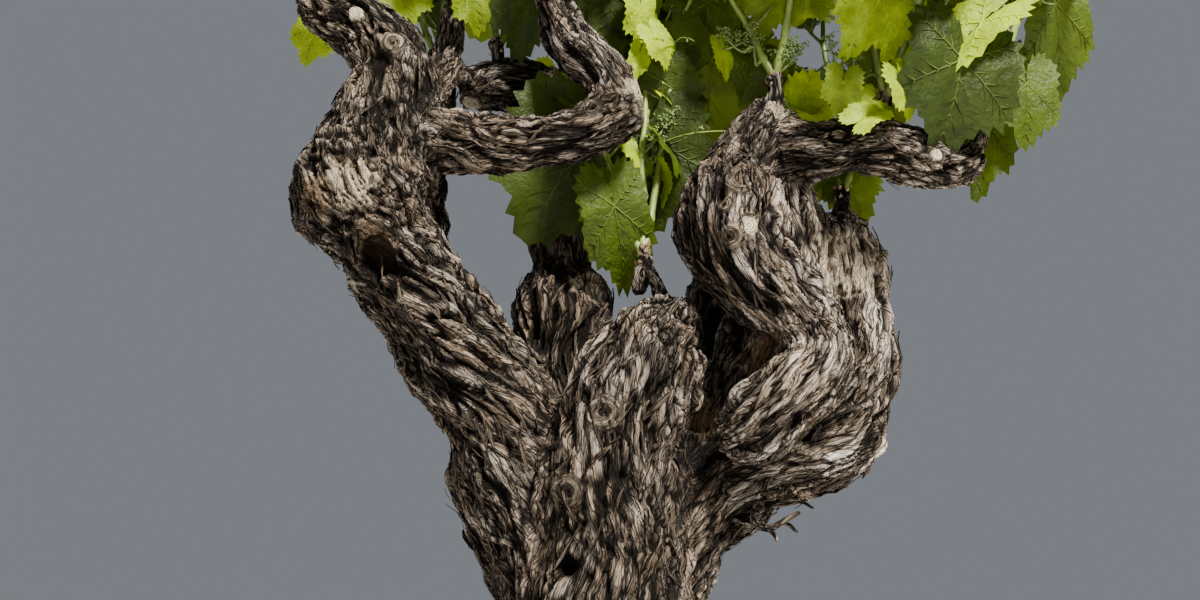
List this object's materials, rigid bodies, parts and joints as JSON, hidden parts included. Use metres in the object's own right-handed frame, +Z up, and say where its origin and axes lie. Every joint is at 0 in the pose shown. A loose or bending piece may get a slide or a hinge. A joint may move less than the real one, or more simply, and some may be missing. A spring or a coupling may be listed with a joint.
{
  "type": "old bush grapevine",
  "caption": "Old goblet-trained grapevine in spring leaf: a thick gnarled trunk, knobbly twisted arms and leafy shoots from the spurs at their ends.",
  "frame": {"origin": "middle of the trunk's flat cut at ground level", "axes": "+Z straight up along the trunk, +X to the right as seen from the front, +Y away from the front"},
  "size_m": [1.0357, 0.5889, 1.2258],
  "materials": {
    "bark": "rough shredding bark",
    "foliage": "soft young leaves and green shoots"
  },
  "bodies": {
    "root": {"trunk": "bark", "left_arm": "bark", "left_arm_top": "bark", "left_branch": "bark", "left_riser": "bark", "left_rear_spur": "bark", "central_stump": "bark", "central_spur": "bark", "rear_left_arm": "bark", "middle_arm": "bark", "middle_riser": "bark", "middle_fork": "bark", "right_arm": "bark", "twist_lower": "bark", "twist_upper": "bark", "twist_core": "bark", "right_stub": "bark", "right_branch": "bark", "rear_right_arm": "bark", "dead_twig": "bark", "left_tip_foliage": "foliage", "left_neck_foliage": "foliage", "rear_left_foliage": "foliage", "riser_foliage": "foliage", "fork_foliage": "foliage", "centre_foliage": "foliage", "middle_foliage": "foliage", "stub_foliage": "foliage", "right_crown_foliage": "foliage", "right_tip_foliage": "foliage", "rear_right_foliage": "foliage", "right_shoulder_foliage": "foliage"}
  },
  "joints": []
}
